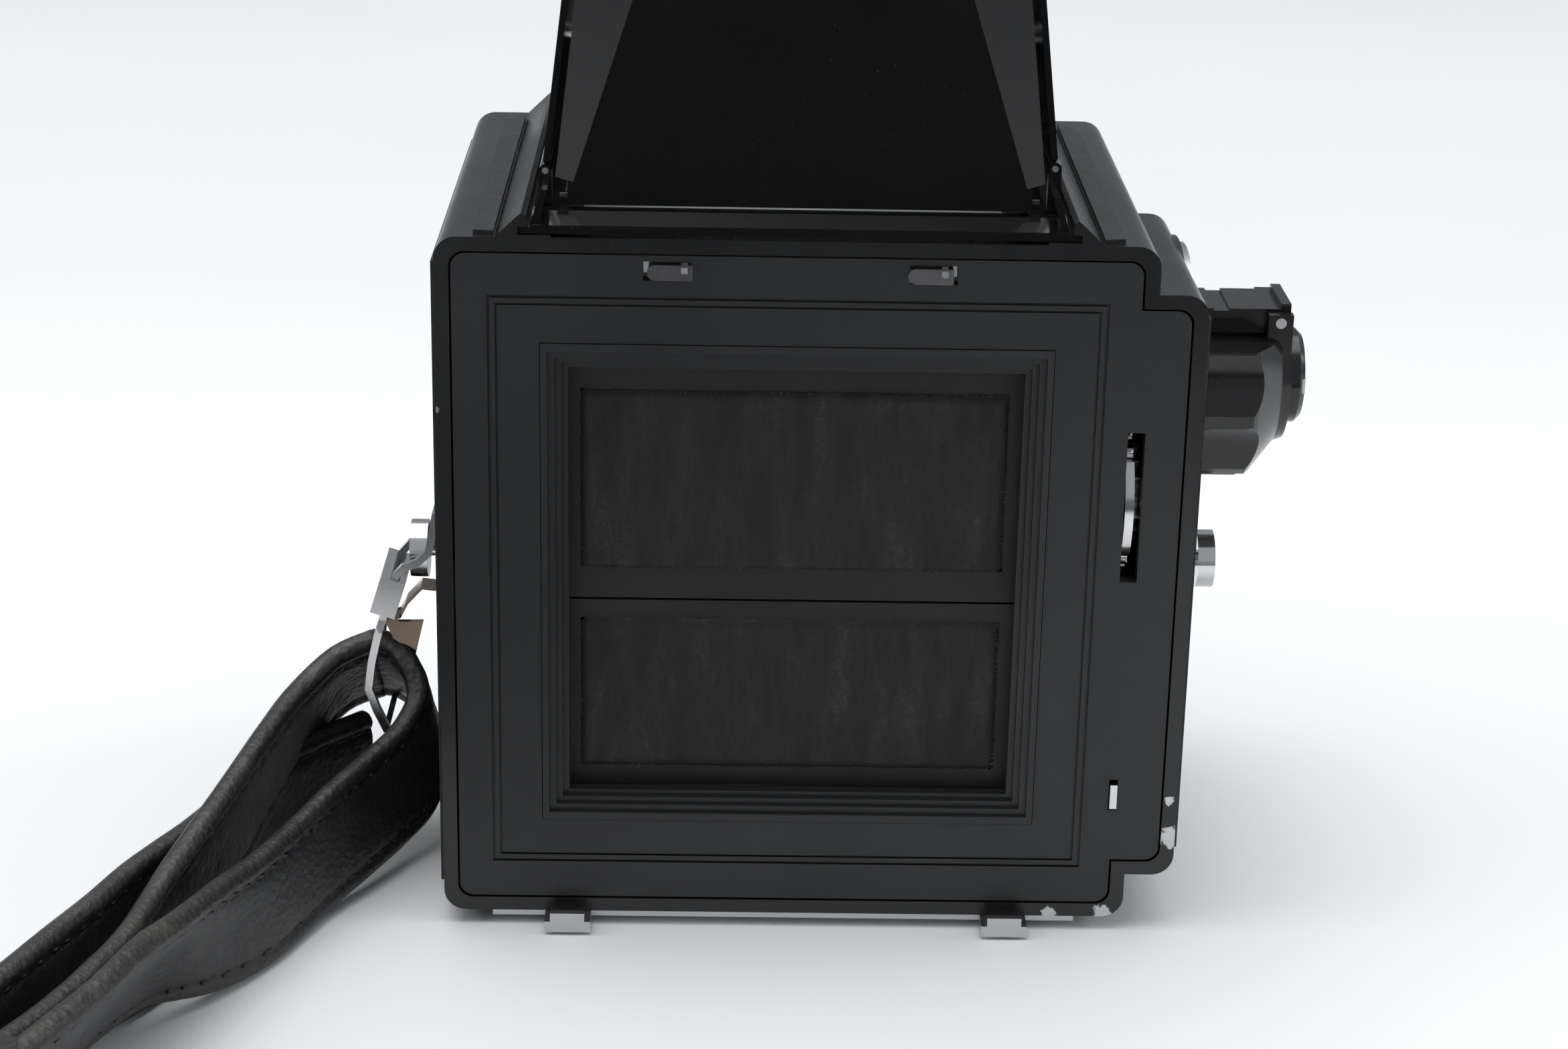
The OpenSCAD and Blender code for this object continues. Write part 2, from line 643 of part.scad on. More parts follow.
module interlock_tab() {
    color([0.8, 0.8, 0.81]) {
        box(41.25, rear - 0.5, 17.6, 42.15, rear + 7, 20.9);
        box(41.25, rear + 4.9, 16.8, 42.15, rear + 6.9, 21.7);
    }
}

module strap_lugs() {
    color([0.76, 0.76, 0.77]) {
        rod_x(-48.2, -42.2, lug_y, lug_z, 1.1);
        rod_x(-42.4, -41.2, lug_y, lug_z, 2.4);
        rod_x(-50.5, -48.2, lug_y, lug_z, 3.9);
        rod_x(48, 54.8, lug_y, lug_z, 1.1);
        rod_x(47, 48.2, lug_y, lug_z, 2.4);
        rod_x(54.8, 57.1, lug_y, lug_z, 3.9);
        rod_x(-left_x - 0.9, -left_x, lug_y, lug_z, 2.6);
        rod_x(housing_x, housing_x + 0.9, lug_y, lug_z, 2.6);
    }
}

// ---- winder and film drive ----

// Spur gear seen along X; phase is the angle of its first tooth
module gear(k, at, phase) {
    p = pitch_r[k];
    translate([0, at[0], at[1]]) along_x(gear_x, gear_x + gear_t) {
        circle(p - 0.85);
        for (i = [0 : teeth[k] - 1]) rotate(phase + i * 360 / teeth[k])
            polygon([[p - 1.4, -0.5], [p - 0.8, -0.46], [p, -0.34], [p + 0.5, -0.14],
                [p + 0.5, 0.14], [p, 0.34], [p - 0.8, 0.46], [p - 1.4, 0.5]]);
    }
}

module winding_shaft() {
    color([0.7, 0.7, 0.72]) {
        rod_x(gear_x - 1, 60, knob_y, knob_z, 3);
        gear(0, [knob_y, knob_z], gear_angle);
    }
}

module idler_gear() {
    color([0.72, 0.66, 0.45]) difference() {
        union() {
            gear(1, idler_axis, gear_angle + 180 + 180 / teeth[1]);
            rod_x(gear_x - 1.2, gear_x + 0.1, idler_axis[0], idler_axis[1], 1.6);
        }
        rod_x(gear_x - 2, gear_x + 2, idler_axis[0], idler_axis[1], 1.05);
    }
}

// Gear with the coupling wheel: smooth where it faces the film back, toothed beyond
module drive_gear() {
    color([0.76, 0.76, 0.77]) difference() {
        union() {
            gear(2, gear_axis, gear_angle + 180 + 180 / teeth[2]);
            translate([0, gear_axis[0], gear_axis[1]]) along_x(gear_x - 1.4, gear_x - 0.3) difference() {
                circle(wheel_r);
                for (i = [3 : 21]) rotate(180 + i * 15) translate([wheel_r, 0]) circle(0.95);
            }
            rod_x(gear_x - 1.5, gear_x + 0.1, gear_axis[0], gear_axis[1], 3.2);
        }
        rod_x(gear_x - 2, gear_x + 2, gear_axis[0], gear_axis[1], 1.05);
    }
}

module gear_posts() {
    color([0.6, 0.6, 0.62]) for (a = [idler_axis, gear_axis]) {
        rod_x(30, gear_x + gear_t + 0.2, a[0], a[1], 1);
        rod_x(gear_x + gear_t + 0.1, gear_x + gear_t + 0.7, a[0], a[1], 1.8);
        rod_x(32, gear_x - 1.6, a[0], a[1], 1.7);
    }
}

module knob_base() {
    color([0.62, 0.62, 0.63]) difference() {
        union() {
            rod_x(housing_x, housing_x + 1, knob_y, knob_z, 17.3);
            rod_x(44.6, housing_x + 0.1, knob_y, knob_z, 3.3);
        }
        rod_x(44, housing_x + 2, knob_y, knob_z, 3.05);
    }
}

module winding_knob() {
    color([0.05, 0.05, 0.055]) difference() {
        union() {
            difference() {
                translate([0, knob_y, knob_z]) rotate([0, 90, 0]) rotate_extrude()
                    polygon([[0, 52], [knob_r - 0.6, 52], [knob_r, 52.6], [knob_r, 59.2],
                        [knob_r - 0.6, 59.8], [8.8, 63.4], [8.4, 64.6], [0, 64.6]]);
                for (a = [20 : 40 : 340]) translate([0, knob_y, knob_z]) rotate([a, 0, 0])
                    rod_x(51, 66, 0, -knob_r - 8.6, 10);
                box(51, knob_y - 20, knob_z + 6.5, 66, knob_y + 20, knob_z + 20);
            }
            for (s = [-1, 1]) box(61.4, knob_y + s * 6 - 0.8, knob_z + 5, 64.6, knob_y + s * 6 + 0.8,
                knob_z + 10);
        }
        rod_x(51, 60, knob_y, knob_z, 3);
        rod_y(knob_y - 8, knob_y + 8, crank_at[0], crank_at[1], 0.7);
        rod_x(63.6, 66, knob_y, knob_z, 6.3);
    }
}

module crank_arm() {
    z = knob_z + 7.1;
    color([0.055, 0.055, 0.06]) difference() {
        union() {
            box(52.6, knob_y - 4.9, z, 64.5, knob_y + 4.9, z + 3.2);
            box(63.2, knob_y - 4.9, z + 3.1, 64.5, knob_y + 4.9, z + 3.9);
            rod_y(knob_y - 4.9, knob_y + 4.9, 53, z + 1.6, 1.6);
        }
        rod_y(knob_y - 6, knob_y + 6, crank_at[0], crank_at[1], 0.75);
        box(54.5, knob_y - 6, z + 2.9, 56.5, knob_y + 6, z + 4);
    }
}

module crank_pin() {
    color([0.7, 0.7, 0.72]) rod_y(knob_y - 6.8, knob_y + 6.8, crank_at[0], crank_at[1], 0.7);
}

module crank_cap() {
    color([0.05, 0.05, 0.055]) difference() {
        translate([0, knob_y, knob_z]) rotate([0, 90, 0]) rotate_extrude() polygon([[0, 63.6],
            [6.25, 63.6], [6.25, knob_end - 0.8], [5.6, knob_end - 0.1], [0, knob_end - 0.1]]);
        box(knob_end - 0.5, knob_y - 7, knob_z - 1.1, knob_end + 1, knob_y + 7, knob_z + 1.1);
    }
}

module crank_index() {
    color([0.9, 0.9, 0.88]) box(knob_end - 0.5, knob_y - 5.3, knob_z - 1.1, knob_end, knob_y + 5.3,
        knob_z + 1.1);
}

// ---- strap and clip ----

// Outline of a bent sheet of thickness t along a line of points
function side_way(p, i) = let (a = p[max(i - 1, 0)], b = p[min(i + 1, len(p) - 1)], d = (b - a) / norm(b - a))
    [-d[1], d[0]];
function band(p, t) = concat([for (i = [0 : len(p) - 1]) p[i] + side_way(p, i) * t / 2],
    [for (i = [len(p) - 1 : -1 : 0]) p[i] - side_way(p, i) * t / 2]);

// Places a copy of the clip at the other end of the strap, lying on its side
module at_second_clip() {
    translate(second_clip_at) rotate([90, 0, -78]) translate([53.4, 0, -16.5]) children();
}

module one_plate() {
    difference() {
        along_y(clip_y[0], clip_y[1]) polygon(band(clip_line, 1));
        box(-60, lug_y - 4.2, 33.4, -48.2, lug_y + 4.2, 40.8);
        box(-60, lug_y - 1.4, 38, -45, lug_y + 1.4, 42);
        rod_x(-51, -47.9, lug_y, lug_z, 4.2);
        box(-60, clip_y[0] + 1.2, 17.2, -52, clip_y[1] - 1, 30.3);
        box(-60, clip_y[0] - 1, 31.3, -44, neck_y[0], 50);
        box(-60, neck_y[1], 31.3, -44, clip_y[1] + 1, 50);
    }
}

module clip_plate() {
    color([0.77, 0.77, 0.78]) {
        one_plate();
        at_second_clip() one_plate();
    }
}

module one_slider() {
    color([0.77, 0.77, 0.78]) translate([-53.15, 0, 35.55]) rotate([0, 17.3, 0]) difference() {
        box(-1.9, neck_y[0] - 0.6, -2.6, 1.5, neck_y[1] + 0.6, 2.6);
        box(-0.65, neck_y[0] - 0.1, -3, 0.65, neck_y[1] + 0.1, 3);
    }
}

module clip_slider() one_slider();
module second_slider() at_second_clip() one_slider();

module one_spring() {
    along_y(lug_y - 1.8, lug_y + 1.8) polygon(band([[-54.2, 30.6], [-52.2, 31.4], [-51.2, 33.4],
        [-49.2, 35.6], [-47.4, 35.4], [-46.9, 37], [-46.9, 39.4]], 0.4));
}

module clip_spring() {
    color([0.72, 0.55, 0.36]) {
        one_spring();
        along_y(-7, -6.2) polygon([[-54, 31.2], [-48.9, 31.3], [-50, 26.6], [-53, 28.8]]);
        along_y(-7, lug_y) polygon([[-54.2, 30.8], [-52.2, 31.2], [-52.2, 31.7], [-54.2, 31.4]]);
        at_second_clip() one_spring();
    }
}

// Points of one strap section: thickness across, width along the lean
strap_section = [[-0.5, -0.34], [-0.3, -0.5], [0.3, -0.5], [0.5, -0.34], [0.5, 0.34], [0.3, 0.5],
    [-0.3, 0.5], [-0.5, 0.34]];
function mid(p) = [p[0], p[1], p[2]];
function lean_of(p) = [p[3], p[4], sqrt(strap_w * strap_w - p[3] * p[3] - p[4] * p[4])] / strap_w;
function ring(route, i) = let (p = route[i], w = lean_of(p),
    d = mid(route[min(i + 1, len(route) - 1)]) - mid(route[max(i - 1, 0)]), n = cross(w, d) / norm(cross(w, d)))
    [for (q = strap_section) mid(p) + n * q[0] * strap_t + w * q[1] * strap_w];

module sweep_strap(route) {
    m = len(strap_section);
    n = len(route);
    polyhedron(points = [for (i = [0 : n - 1]) each ring(route, i)],
        faces = concat([[for (k = [0 : m - 1]) k]], [[for (k = [m - 1 : -1 : 0]) (n - 1) * m + k]],
            [for (i = [0 : n - 2], k = [0 : m - 1]) each [
                [i * m + k, (i + 1) * m + k, i * m + (k + 1) % m],
                [i * m + (k + 1) % m, (i + 1) * m + k, (i + 1) * m + (k + 1) % m]]]));
}

module strap() {
    color([0.05, 0.05, 0.055]) sweep_strap(main_route);
}

module strap_tail() {
    color([0.05, 0.05, 0.055]) sweep_strap(tail_route);
}

// Leather loop that holds the doubled-back end against the strap
module strap_keeper() {
    color([0.05, 0.05, 0.055]) translate([-89.6, -104, 0.2]) rotate(4) difference() {
        box(-5.4, -4, 0, 5.4, 4, 19);
        box(-4.4, -5, 0.1, 4.4, 5, 18);
    }
}

body_shell();
rear_plate();
gate_frame();
mirror_box();
front_plate();
mount_ring();
mount_screws();
lens_release();
shutter_release();
release_collar();
lens_drive_shaft();
mirror_frame();
mirror_glass();
mirror_shaft();
upper_flap();
upper_pad();
lower_flap();
lower_pad();
flap_pins();
focusing_screen();
screen_frame();
hood_base();
hood_rear_panel();
hood_left_panel();
hood_right_panel();
hood_lid();
hood_pins();
magnifier_frame();
magnifier_lens();
magnifier_pin();
hood_catch();
shoulder_leather();
side_leather();
magazine_hooks();
drive_gear();
idler_gear();
gear_posts();
interlock_tab();
knob_base();
winding_shaft();
winding_knob();
crank_arm();
crank_pin();
crank_cap();
crank_index();
base_plate();
rubber_feet();
tripod_plate();
base_screws();
strap_lugs();
clip_plate();
clip_slider();
clip_spring();
second_slider();
strap();
strap_tail();
strap_keeper();
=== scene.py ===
import bpy
import bmesh
import json
import math
import random
from mathutils import Matrix, Vector, noise


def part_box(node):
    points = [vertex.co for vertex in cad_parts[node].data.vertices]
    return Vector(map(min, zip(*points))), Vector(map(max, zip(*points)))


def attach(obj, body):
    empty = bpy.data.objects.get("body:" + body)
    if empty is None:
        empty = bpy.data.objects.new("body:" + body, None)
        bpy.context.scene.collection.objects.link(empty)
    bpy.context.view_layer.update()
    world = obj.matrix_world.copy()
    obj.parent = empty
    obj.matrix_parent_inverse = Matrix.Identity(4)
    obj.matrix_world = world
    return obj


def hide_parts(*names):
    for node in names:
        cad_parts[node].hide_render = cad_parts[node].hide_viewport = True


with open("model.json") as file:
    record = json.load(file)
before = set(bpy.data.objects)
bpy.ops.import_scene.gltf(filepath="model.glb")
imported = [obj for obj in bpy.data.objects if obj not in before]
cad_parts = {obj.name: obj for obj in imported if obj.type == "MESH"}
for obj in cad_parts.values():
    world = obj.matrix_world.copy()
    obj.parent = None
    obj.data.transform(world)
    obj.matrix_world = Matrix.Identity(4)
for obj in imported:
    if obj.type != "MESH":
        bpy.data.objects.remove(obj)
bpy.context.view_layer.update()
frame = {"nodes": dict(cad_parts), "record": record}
nodes = frame["nodes"]
random.seed(7)

# camera

cameraSettings = {
    "place": (-0.00897, -0.408998, 0.191506),  # metres, behind the body and above it
    "pitch": 19.91,  # degrees down
    "yaw": 1.18,     # degrees to the right
    "roll": 1.19,
    "lens": 73.72,
}


def addCamera():
    pitch, yaw, roll = (math.radians(cameraSettings[k]) for k in ("pitch", "yaw", "roll"))
    level = math.cos(pitch)
    forward = Vector((math.sin(yaw) * level, math.cos(yaw) * level, -math.sin(pitch)))
    right = Vector((math.cos(yaw), -math.sin(yaw), 0))
    up = right.cross(forward)
    tiltedRight = math.cos(roll) * right + math.sin(roll) * up
    tiltedUp = math.cos(roll) * up - math.sin(roll) * right
    data = bpy.data.cameras.new("studioCamera")
    data.lens = cameraSettings["lens"]
    data.sensor_width = 36
    data.clip_start = 0.01
    camera = bpy.data.objects.new("studioCamera", data)
    bpy.context.scene.collection.objects.link(camera)
    turn = Matrix((tiltedRight, tiltedUp, -forward)).transposed().to_4x4()
    camera.matrix_world = Matrix.Translation(cameraSettings["place"]) @ turn
    bpy.context.scene.camera = camera


addCamera()
print("camera set")

# strap

strap = {
    "width": 0.015,
    "thickness": 0.003,
    "step": 0.0011,       # distance between rings
    "stitchInset": 0.0023,
    "stitchPitch": 0.0034,
    "stitchLength": 0.0024,
    "coilCentre": (-0.0386, -0.142),
    "coilRadius": 0.05,
    "coilPitch": 0.0062,
}

# mid line, then how far the top edge leans over in X and in Y
nearLay = [
    (-0.056, -0.0015, 0.0229, 0, -0.009), (-0.0534, -0.0019, 0.0228, 0, -0.0095),
    (-0.0504, -0.004, 0.0208, -0.0017, -0.009), (-0.0484, -0.0087, 0.0164, -0.0025, -0.0045),
    (-0.05, -0.0127, 0.0124, -0.0036, -0.0025), (-0.0532, -0.0178, 0.0104, -0.0036, -0.0015),
    (-0.057, -0.025, 0.0093, -0.004, -0.002), (-0.0615, -0.0341, 0.0081, -0.0026, -0.0022),
    (-0.066, -0.0459, 0.0078, -0.0011, 0), (-0.0702, -0.0545, 0.0086, 0.002, 0.0015),
    (-0.0731, -0.0605, 0.0098, 0.005, -0.0003), (-0.0756, -0.0652, 0.0106, 0.0066, -0.0024),
    (-0.0786, -0.073, 0.0112, 0.0065, -0.003), (-0.0816, -0.082, 0.0112, 0.0066, -0.004),
    (-0.0846, -0.091, 0.0106, 0.005, -0.003), (-0.0869, -0.099, 0.0096, 0.0026, -0.0012),
    (-0.0879, -0.108, 0.0086, 0.0004, 0), (-0.0884, -0.119, 0.0081, 0, 0),
    (-0.0886, -0.13, 0.0081, 0, 0)
]
tailLay = [
    (-0.0557, -0.0015, 0.0229, 0, -0.009), (-0.0608, -0.0035, 0.0212, 0.0004, -0.009),
    (-0.0654, -0.011, 0.0184, 0.0008, -0.0075), (-0.0685, -0.022, 0.016, 0.0013, -0.004),
    (-0.071, -0.0332, 0.0138, 0.0008, -0.0015), (-0.0734, -0.0423, 0.0116, 0, -0.0005),
    (-0.076, -0.0505, 0.0092, -0.0006, 0), (-0.0782, -0.057, 0.0079, 0.001, 0),
    (-0.0802, -0.063, 0.0078, 0.0036, -0.0012), (-0.0822, -0.0685, 0.0078, 0.005, -0.0022),
    (-0.0848, -0.076, 0.0078, 0.0054, -0.003), (-0.0878, -0.0845, 0.0078, 0.005, -0.003),
    (-0.0906, -0.094, 0.0079, 0.003, -0.0015), (-0.0919, -0.103, 0.0081, 0.0005, 0)
]
tailFloor = [
    (-0.0932, -0.112), (-0.096, -0.12), (-0.102, -0.125), (-0.109, -0.123), (-0.1124, -0.116),
    (-0.1104, -0.108), (-0.105, -0.101), (-0.0994, -0.0945), (-0.0954, -0.0872), (-0.0916, -0.0775),
    (-0.088, -0.0675), (-0.0846, -0.0585), (-0.0818, -0.05), (-0.079, -0.0434), (-0.0762, -0.0372),
    (-0.0738, -0.0304), (-0.0716, -0.0224), (-0.0682, -0.0148), (-0.0636, -0.0082), (-0.0578, -0.0012)
]
coilEnd = [(0.0336, 0.009), (0.029, 0.0155), (0.021, 0.0184), (0.014, 0.0186), (0.0104, 0.02),
    (0.0092, 0.022), (0.0104, 0.024), (0.014, 0.0254), (0.021, 0.0254)]


def upright(points, height):
    return [(x, y, height, 0, 0) for x, y in points]


def coilTurns():
    cx, cy = strap["coilCentre"]
    turns = []
    for degrees in range(12, 901, 24):
        r = strap["coilRadius"] - strap["coilPitch"] * degrees / 360
        a = math.radians(180 + degrees)
        turns.append((cx + r * math.cos(a), cy + r * math.sin(a)))
    return turns


def smoothRoute(points):
    out = []
    rows = [Vector(p) for p in points]
    for i in range(len(rows) - 1):
        a, b = rows[max(i - 1, 0)], rows[i]
        c, d = rows[i + 1], rows[min(i + 2, len(rows) - 1)]
        steps = max(2, int((Vector(c[:3]) - Vector(b[:3])).length / strap["step"]))
        for k in range(steps):
            t = k / steps
            bend = 2 * a - 5 * b + 4 * c - d
            out.append(0.5 * (2 * b + t * (c - a) + t * t * bend + t ** 3 * (3 * b - a - 3 * c + d)))
    out.append(rows[-1])
    return out


# half thickness, in parts of the full one, from the rim in to the middle
halfProfile = [(-0.5, 0.12), (-0.488, 0.3), (-0.46, 0.44), (-0.42, 0.5), (-0.385, 0.47), (-0.352, 0.37),
    (-0.32, 0.43), (-0.27, 0.48), (-0.18, 0.47), (-0.06, 0.455)]
strapProfile = halfProfile + [(-v, h) for v, h in reversed(halfProfile)]


def strapFrames(route):
    rows = smoothRoute(route)
    mids = [Vector(r[:3]) for r in rows]
    frames = []
    along = 0
    for i, row in enumerate(rows):
        w = strap["width"]
        across = Vector((row[3], row[4], math.sqrt(max(w * w - row[3] ** 2 - row[4] ** 2, 0)))) / w
        ahead = mids[min(i + 1, len(mids) - 1)] - mids[max(i - 1, 0)]
        side = across.cross(ahead).normalized()
        if i:
            along += (mids[i] - mids[i - 1]).length
        frames.append((mids[i], across, side, along))
    return frames


def wrinkle(along, v, seed):
    fine = noise.noise(Vector((along * 620, v * 160, seed)))
    broad = noise.noise(Vector((along * 120, v * 60, seed + 9)))
    return 0.00013 * fine + 0.00022 * broad


def sweepStrap(name, route, seed):
    frames = strapFrames(route)
    mesh = bmesh.new()
    uvs = mesh.loops.layers.uv.new("UVMap")
    w, t = strap["width"], strap["thickness"]
    ring = [(v, h) for v, h in strapProfile] + [(v, -h) for v, h in reversed(strapProfile)]
    rows = []
    for mid, across, side, along in frames:
        row = []
        for v, h in ring:
            lift = wrinkle(along, v * w, seed + (5 if h > 0 else 0)) if abs(v) < 0.45 else 0
            place = mid + across * v * w + side * (h * t + math.copysign(lift, h))
            row.append(mesh.verts.new(place))
        rows.append(row)
    count = len(ring)
    for i in range(len(rows) - 1):
        for k in range(count):
            m = (k + 1) % count
            face = mesh.faces.new((rows[i][k], rows[i][m], rows[i + 1][m], rows[i + 1][k]))
            face.smooth = True
            corners = ((k, i), (k + 1, i), (k + 1, i + 1), (k, i + 1))
            for loop, (q, j) in zip(face.loops, corners):
                across = ring[q % count][0] * w
                loop[uvs].uv = (frames[j][3], across + (0.03 if k >= len(strapProfile) else 0))
    mesh.faces.new(rows[0])
    mesh.faces.new(list(reversed(rows[-1])))
    bmesh.ops.recalc_face_normals(mesh, faces=mesh.faces)
    return finishMesh(mesh, name), frames


def finishMesh(mesh, name):
    data = bpy.data.meshes.new(name)
    mesh.to_mesh(data)
    mesh.free()
    piece = bpy.data.objects.new(name, data)
    bpy.context.scene.collection.objects.link(piece)
    return piece


def sewStrap(name, frames):
    mesh = bmesh.new()
    pitch, inset = strap["stitchPitch"], strap["width"] / 2 - strap["stitchInset"]
    nextStitch = pitch
    for i in range(2, len(frames) - 2):
        mid, across, side, along = frames[i]
        if along < nextStitch:
            continue
        nextStitch += pitch
        ahead = (frames[i + 1][0] - frames[i - 1][0]).normalized()
        for edge in (-1, 1):
            for face in (-1, 1):
                tilt = across * edge * 0.12
                axis = (ahead + tilt).normalized()
                place = mid + across * edge * inset + side * face * 0.37 * strap["thickness"]
                turn = Matrix((axis, side * face, axis.cross(side * face))).transposed().to_4x4()
                size = Matrix.Diagonal((strap["stitchLength"], 0.0007, 0.0008, 1))
                made = bmesh.ops.create_icosphere(mesh, subdivisions=1, radius=0.5,
                    matrix=Matrix.Translation(place) @ turn @ size)
                for v in made["verts"]:
                    for f in v.link_faces:
                        f.smooth = True
    return finishMesh(mesh, name)


cx, cy = strap["coilCentre"]
endTurn = [(cx + x, cy + y) for x, y in coilEnd]
mainRoute = nearLay + upright(coilTurns(), 0.0081) + upright(endTurn, 0.0096)
tailRoute = tailLay + upright(tailFloor, 0.0081)
neckStrap, mainFrames = sweepStrap("neckStrap", mainRoute, 1)
strapEnd, tailFrames = sweepStrap("strapDoubledEnd", tailRoute, 3)
neckStitching = sewStrap("neckStrapStitching", mainFrames)
endStitching = sewStrap("strapEndStitching", tailFrames)
for piece in (neckStrap, strapEnd, neckStitching, endStitching):
    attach(piece, "camera_body")
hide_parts("strap")
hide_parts("strap_tail")
print("strap", round(mainFrames[-1][3], 3), "m and doubled end", round(tailFrames[-1][3], 3), "m")

# shader groups


def newGroup(name, inputs, outputs):
    group = bpy.data.node_groups.new(name, "ShaderNodeTree")
    for label, kind, value in inputs:
        socket = group.interface.new_socket(name=label, in_out="INPUT", socket_type=kind)
        if value is not None:
            socket.default_value = value
    for label, kind in outputs:
        group.interface.new_socket(name=label, in_out="OUTPUT", socket_type=kind)
    return group, group.nodes.new("NodeGroupInput"), group.nodes.new("NodeGroupOutput")


def mathNode(tree, operation, a, b):
    node = tree.nodes.new("ShaderNodeMath")
    node.operation = operation
    for socket, value in zip(node.inputs, (a, b)):
        if isinstance(value, (int, float)):
            socket.default_value = value
        else:
            tree.links.new(value, socket)
    return node.outputs[0]


def noiseNode(tree, place, scale, detail=4, roughness=0.6):
    node = tree.nodes.new("ShaderNodeTexNoise")
    node.inputs["Detail"].default_value = detail
    node.inputs["Roughness"].default_value = roughness
    tree.links.new(place, node.inputs["Vector"])
    if isinstance(scale, (int, float)):
        node.inputs["Scale"].default_value = scale
    else:
        tree.links.new(scale, node.inputs["Scale"])
    return node.outputs["Fac"]


def rangeNode(tree, value, fromLow, fromHigh, toLow, toHigh):
    node = tree.nodes.new("ShaderNodeMapRange")
    tree.links.new(value, node.inputs["Value"])
    ends = {"From Min": fromLow, "From Max": fromHigh, "To Min": toLow, "To Max": toHigh}
    for label, number in ends.items():
        if isinstance(number, (int, float)):
            node.inputs[label].default_value = number
        else:
            tree.links.new(number, node.inputs[label])
    return node.outputs["Result"]


def buildPaintGroup():
    tree, given, result = newGroup("paintSurface", [
        ("Place", "NodeSocketVector", None), ("Grain", "NodeSocketFloat", 3000.0),
        ("Dust", "NodeSocketFloat", 0.3), ("Smooth", "NodeSocketFloat", 0.35),
        ("Rough", "NodeSocketFloat", 0.55)],
        [("Height", "NodeSocketFloat"), ("Roughness", "NodeSocketFloat"), ("Dust", "NodeSocketFloat")])
    place = given.outputs["Place"]
    grain = noiseNode(tree, place, given.outputs["Grain"], 3, 0.7)
    smear = noiseNode(tree, place, 45, 5, 0.65)
    specks = noiseNode(tree, place, 2300, 2, 0.5)
    patch = noiseNode(tree, place, 60, 3, 0.6)
    dots = rangeNode(tree, specks, 0.69, 0.76, 0, 1)
    haze = rangeNode(tree, patch, 0.4, 0.75, 0.15, 1)
    dust = mathNode(tree, "MULTIPLY", mathNode(tree, "MULTIPLY", dots, haze), given.outputs["Dust"])
    tree.links.new(grain, result.inputs["Height"])
    tree.links.new(rangeNode(tree, smear, 0.3, 0.7, given.outputs["Smooth"], given.outputs["Rough"]),
        result.inputs["Roughness"])
    tree.links.new(dust, result.inputs["Dust"])
    return tree


def buildLeatherGroup():
    tree, given, result = newGroup("leatherSurface", [
        ("Place", "NodeSocketVector", None), ("Grain", "NodeSocketFloat", 900.0)],
        [("Height", "NodeSocketFloat"), ("Worn", "NodeSocketFloat"), ("Roughness", "NodeSocketFloat")])
    place = given.outputs["Place"]
    cells = tree.nodes.new("ShaderNodeTexVoronoi")
    cells.feature = "SMOOTH_F1"
    cells.inputs["Smoothness"].default_value = 0.35
    tree.links.new(place, cells.inputs["Vector"])
    tree.links.new(given.outputs["Grain"], cells.inputs["Scale"])
    fine = noiseNode(tree, place, 2600, 4, 0.7)
    creases = noiseNode(tree, place, 260, 6, 0.7)
    pebbles = mathNode(tree, "MULTIPLY", cells.outputs["Distance"], 0.6)
    deepFolds = mathNode(tree, "MULTIPLY", creases, 0.9)
    folds = mathNode(tree, "ADD", mathNode(tree, "MULTIPLY", fine, 0.35), deepFolds)
    tree.links.new(mathNode(tree, "ADD", pebbles, folds), result.inputs["Height"])
    rubbed = noiseNode(tree, place, 120, 6, 0.7)
    tree.links.new(rangeNode(tree, rubbed, 0.48, 0.72, 0, 1), result.inputs["Worn"])
    tree.links.new(rangeNode(tree, creases, 0.3, 0.7, 0.3, 0.5), result.inputs["Roughness"])
    return tree


paintGroup = buildPaintGroup()
leatherGroup = buildLeatherGroup()


def startMaterial(name):
    material = bpy.data.materials.new(name)
    material.use_nodes = True
    tree = material.node_tree
    shader = tree.nodes["Principled BSDF"]
    place = tree.nodes.new("ShaderNodeTexCoord")
    return material, tree, shader, place


def mixColour(tree, factor, a, b):
    node = tree.nodes.new("ShaderNodeMix")
    node.data_type = "RGBA"
    tree.links.new(factor, node.inputs[0])
    for socket, value in ((node.inputs[6], a), (node.inputs[7], b)):
        if isinstance(value, tuple):
            socket.default_value = (*value, 1)
        else:
            tree.links.new(value, socket)
    return node.outputs[2]


def bump(tree, shader, height, strength, distance):
    node = tree.nodes.new("ShaderNodeBump")
    node.inputs["Strength"].default_value = strength
    node.inputs["Distance"].default_value = distance
    tree.links.new(height, node.inputs["Height"])
    tree.links.new(node.outputs["Normal"], shader.inputs["Normal"])


